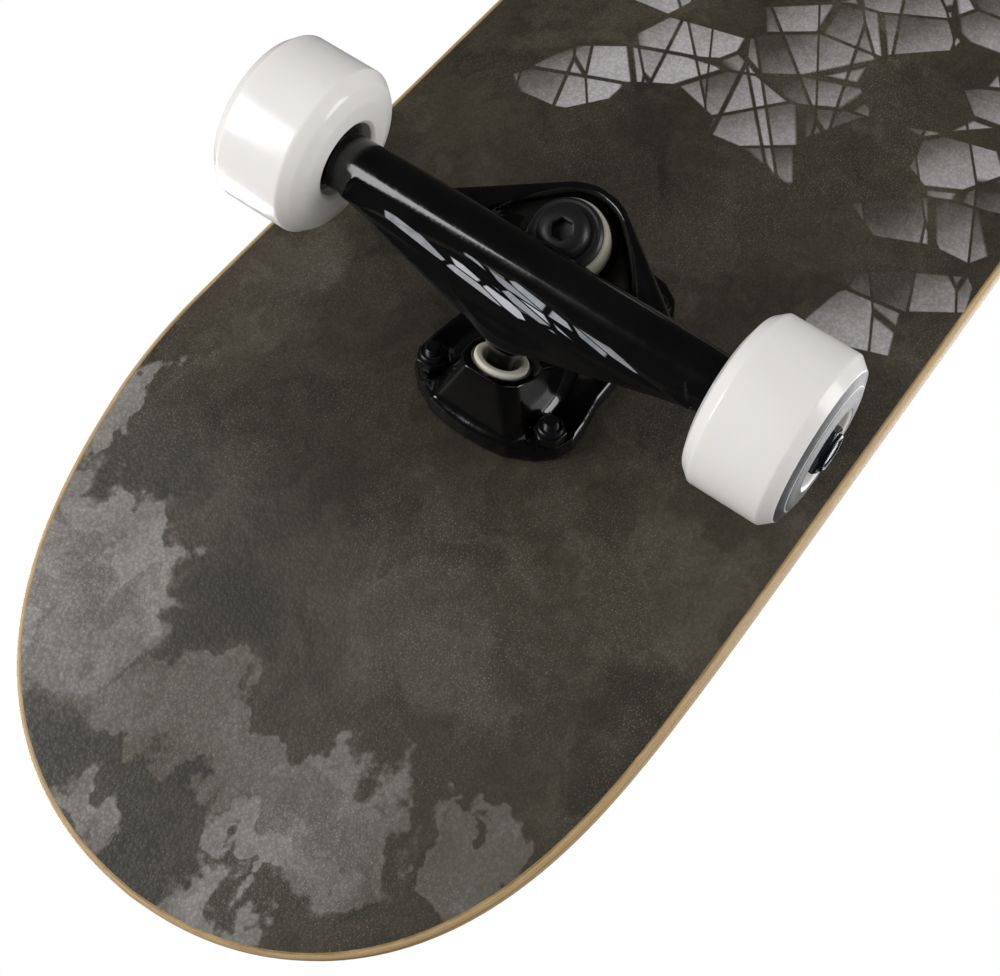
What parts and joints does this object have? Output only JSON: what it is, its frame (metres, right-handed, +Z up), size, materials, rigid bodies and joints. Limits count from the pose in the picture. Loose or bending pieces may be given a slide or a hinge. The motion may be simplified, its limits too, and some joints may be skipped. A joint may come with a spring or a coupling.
{
  "type": "skateboard",
  "caption": "Kicktail skateboard: a concave wooden deck with grip tape, on sprung steering trucks whose wheels spin freely on bearings.",
  "frame": {"origin": "middle of the bounding box at floor level, where the wheels stand", "axes": "+X towards the nose, +Y to the left, +Z up out of the standing surface"},
  "size_m": [0.7892, 0.1914, 0.1314],
  "materials": {
    "deck": "satin",
    "grip_tape": "matte",
    "truck_paint": "gloss",
    "satin_black_steel": "satin",
    "cream_urethane": "satin",
    "zinc_steel": "satin",
    "black_hardware": "satin",
    "axle_nut": "satin",
    "wheel_urethane": "gloss",
    "bearing_steel": "satin"
  },
  "bodies": {
    "board": {"deck": "deck", "grip_tape": "grip_tape", "rear_outer_left_bolt": "black_hardware", "rear_outer_left_nut": "black_hardware", "rear_outer_right_bolt": "black_hardware", "rear_outer_right_nut": "black_hardware", "rear_inner_left_bolt": "black_hardware", "rear_inner_left_nut": "black_hardware", "rear_inner_right_bolt": "black_hardware", "rear_inner_right_nut": "black_hardware", "rear_baseplate": "truck_paint", "rear_pivot_cup": "cream_urethane", "rear_kingpin": "satin_black_steel", "rear_top_washer": "satin_black_steel", "rear_top_bushing": "cream_urethane", "rear_bottom_bushing": "cream_urethane", "rear_bottom_washer": "satin_black_steel", "front_outer_left_bolt": "black_hardware", "front_outer_left_nut": "black_hardware", "front_outer_right_bolt": "black_hardware", "front_outer_right_nut": "black_hardware", "front_inner_left_bolt": "black_hardware", "front_inner_left_nut": "black_hardware", "front_inner_right_bolt": "black_hardware", "front_inner_right_nut": "black_hardware", "front_baseplate": "truck_paint", "front_pivot_cup": "cream_urethane", "front_kingpin": "satin_black_steel", "front_top_washer": "satin_black_steel", "front_top_bushing": "cream_urethane", "front_bottom_bushing": "cream_urethane", "front_bottom_washer": "satin_black_steel"},
    "rear_hanger_body": {"rear_hanger": "truck_paint", "rear_axle": "zinc_steel", "rear_left_inner_speed_washer": "zinc_steel", "rear_left_outer_speed_washer": "zinc_steel", "rear_left_axle_nut": "axle_nut", "rear_right_inner_speed_washer": "zinc_steel", "rear_right_outer_speed_washer": "zinc_steel", "rear_right_axle_nut": "axle_nut"},
    "rear_left_wheel_body": {"rear_left_wheel": "wheel_urethane", "rear_left_inner_bearing": "bearing_steel", "rear_left_outer_bearing": "bearing_steel"},
    "rear_right_wheel_body": {"rear_right_wheel": "wheel_urethane", "rear_right_inner_bearing": "bearing_steel", "rear_right_outer_bearing": "bearing_steel"},
    "front_hanger_body": {"front_hanger": "truck_paint", "front_axle": "zinc_steel", "front_left_inner_speed_washer": "zinc_steel", "front_left_outer_speed_washer": "zinc_steel", "front_left_axle_nut": "axle_nut", "front_right_inner_speed_washer": "zinc_steel", "front_right_outer_speed_washer": "zinc_steel", "front_right_axle_nut": "axle_nut"},
    "front_left_wheel_body": {"front_left_wheel": "wheel_urethane", "front_left_inner_bearing": "bearing_steel", "front_left_outer_bearing": "bearing_steel"},
    "front_right_wheel_body": {"front_right_wheel": "wheel_urethane", "front_right_inner_bearing": "bearing_steel", "front_right_outer_bearing": "bearing_steel"}
  },
  "joints": [
    {"name": "rear_steer", "type": "hinge", "parent": "board", "child": "rear_hanger_body", "pos_m": [-0.2314, 0, 0.0619], "axis": [0.8734, 0, -0.487], "range_deg": [-12, 12], "stiffness_Nm_per_rad": 60, "deforming": ["rear_top_bushing", "rear_bottom_bushing"]},
    {"name": "rear_left_wheel_spin", "type": "hinge", "parent": "rear_hanger_body", "child": "rear_left_wheel_body", "pos_m": [-0.2192, 0.0771, 0.0255], "axis": [0, 1, 0], "continuous": true},
    {"name": "rear_right_wheel_spin", "type": "hinge", "parent": "rear_hanger_body", "child": "rear_right_wheel_body", "pos_m": [-0.2192, -0.0771, 0.0255], "axis": [0, 1, 0], "continuous": true},
    {"name": "front_steer", "type": "hinge", "parent": "board", "child": "front_hanger_body", "pos_m": [0.2282, 0, 0.0619], "axis": [-0.8734, 0, -0.487], "range_deg": [-12, 12], "stiffness_Nm_per_rad": 60, "deforming": ["front_top_bushing", "front_bottom_bushing"]},
    {"name": "front_left_wheel_spin", "type": "hinge", "parent": "front_hanger_body", "child": "front_left_wheel_body", "pos_m": [0.216, 0.0771, 0.0255], "axis": [0, 1, 0], "continuous": true},
    {"name": "front_right_wheel_spin", "type": "hinge", "parent": "front_hanger_body", "child": "front_right_wheel_body", "pos_m": [0.216, -0.0771, 0.0255], "axis": [0, 1, 0], "continuous": true}
  ]
}
